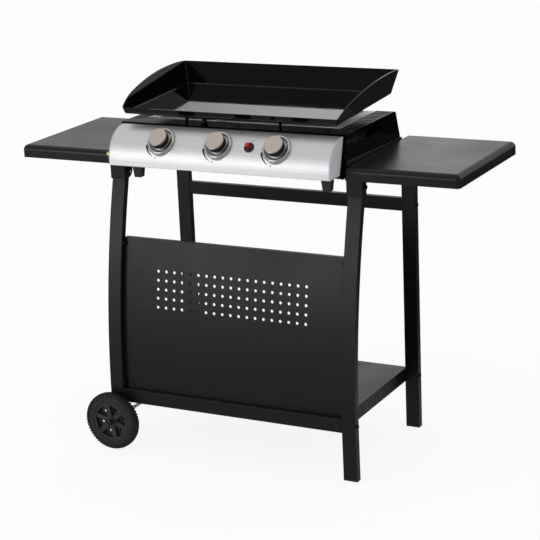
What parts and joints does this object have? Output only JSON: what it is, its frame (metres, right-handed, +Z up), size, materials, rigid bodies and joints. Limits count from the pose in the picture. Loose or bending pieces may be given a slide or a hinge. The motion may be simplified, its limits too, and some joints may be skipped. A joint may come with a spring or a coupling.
{
  "type": "outdoor gas griddle station",
  "caption": "Gas griddle with high-walled flat cooking plate and curved steel control panel, on a wheeled stand with side tables, perforated screen and lower shelf.",
  "frame": {"origin": "on the floor under the middle of the object's box", "axes": "+X to the right of a person at the knobs, +Y away from them, +Z up"},
  "size_m": [1.21, 0.489, 0.9424],
  "materials": {
    "black_paint": "satin powder coat",
    "black_enamel": "gloss enamel",
    "panel_steel": "brushed",
    "pale_ends": "satin",
    "bright_sheet": "satin",
    "knob_steel": "brushed",
    "zinc": "zinc plated",
    "brass": "machined",
    "black_plastic": "matt",
    "hub_plastic": "matt",
    "tyre_rubber": "matt",
    "foot_rubber": "matt",
    "red_plastic": "gloss",
    "ceramic": "glazed ceramic"
  },
  "bodies": {
    "station": {"side_panel_left": "black_paint", "side_panel_right": "black_paint", "rear_panel": "black_paint", "front_rail": "black_paint", "base_pan": "black_paint", "burner_tub": "bright_sheet", "control_panel": "panel_steel", "panel_end_left": "pale_ends", "panel_end_right": "pale_ends", "burner_left": "bright_sheet", "burner_centre": "bright_sheet", "burner_right": "bright_sheet", "gas_manifold": "zinc", "gas_inlet": "brass", "valve_left": "brass", "valve_centre": "brass", "valve_right": "brass", "knob_bezels": "knob_steel", "igniter_body": "black_plastic", "spark_electrode": "ceramic", "unit_feet": "foot_rubber", "unit_screws": "zinc", "grease_pipe": "zinc", "tray_runners": "black_paint", "leg_front_left": "black_paint", "leg_front_right": "black_paint", "leg_rear_left": "black_paint", "leg_rear_right": "black_paint", "bracket_front_left": "black_paint", "bracket_front_right": "black_paint", "bracket_rear_left": "black_paint", "bracket_rear_right": "black_paint", "leg_caps": "black_plastic", "side_rails": "black_paint", "side_table_left": "black_paint", "side_table_right": "black_paint", "table_braces": "black_paint", "front_screen": "black_paint", "lower_shelf": "black_paint", "rear_crossbar": "black_paint", "axle": "zinc", "wheel_nuts": "zinc", "frame_bolts": "black_paint"},
    "valve_left": {"valve_stem_left": "brass"},
    "valve_centre": {"valve_stem_centre": "brass"},
    "valve_right": {"valve_stem_right": "brass"},
    "knob_left": {"knob_left": "black_plastic", "knob_cap_left": "knob_steel"},
    "knob_centre": {"knob_centre": "black_plastic", "knob_cap_centre": "knob_steel"},
    "knob_right": {"knob_right": "black_plastic", "knob_cap_right": "knob_steel"},
    "igniter": {"igniter_button": "red_plastic"},
    "wheel_front": {"tyre_front": "tyre_rubber", "hub_front": "hub_plastic"},
    "wheel_rear": {"tyre_rear": "tyre_rubber", "hub_rear": "hub_plastic"},
    "plate": {"griddle_plate": "black_enamel", "plate_pins": "zinc"},
    "tray": {"grease_tray": "black_paint"}
  },
  "joints": [
    {"name": "valve_turn_left", "type": "hinge", "parent": "station", "child": "valve_left", "pos_m": [-0.159, -0.1776, 0.8122], "axis": [0, -0.7547, 0.6561], "range_deg": [0, 180]},
    {"name": "knob_push_left", "type": "slide", "parent": "valve_left", "child": "knob_left", "axis": [0, 0.7547, -0.6561], "range_m": [0, 0.003], "stiffness_N_per_m": 1500, "springref_m": -0.002},
    {"name": "valve_turn_centre", "type": "hinge", "parent": "station", "child": "valve_centre", "pos_m": [0, -0.1776, 0.8122], "axis": [0, -0.7547, 0.6561], "range_deg": [0, 180]},
    {"name": "knob_push_centre", "type": "slide", "parent": "valve_centre", "child": "knob_centre", "axis": [0, 0.7547, -0.6561], "range_m": [0, 0.003], "stiffness_N_per_m": 1500, "springref_m": -0.002},
    {"name": "valve_turn_right", "type": "hinge", "parent": "station", "child": "valve_right", "pos_m": [0.159, -0.1776, 0.8122], "axis": [0, -0.7547, 0.6561], "range_deg": [0, 180]},
    {"name": "knob_push_right", "type": "slide", "parent": "valve_right", "child": "knob_right", "axis": [0, 0.7547, -0.6561], "range_m": [0, 0.003], "stiffness_N_per_m": 1500, "springref_m": -0.002},
    {"name": "igniter_press", "type": "slide", "parent": "station", "child": "igniter", "axis": [0, 0.7547, -0.6561], "range_m": [0, 0.005], "stiffness_N_per_m": 1200, "springref_m": -0.003},
    {"name": "wheel_spin_front", "type": "hinge", "parent": "station", "child": "wheel_front", "pos_m": [-0.335, -0.2235, 0.076], "axis": [0, 1, 0], "continuous": true},
    {"name": "wheel_spin_rear", "type": "hinge", "parent": "station", "child": "wheel_rear", "pos_m": [-0.335, 0.2235, 0.076], "axis": [0, 1, 0], "continuous": true},
    {"name": "plate_lift", "type": "slide", "parent": "station", "child": "plate", "axis": [0, 0, 1], "range_m": [0, 0.06]},
    {"name": "tray_slide", "type": "slide", "parent": "station", "child": "tray", "axis": [0, -1, 0], "range_m": [0, 0.15]}
  ]
}
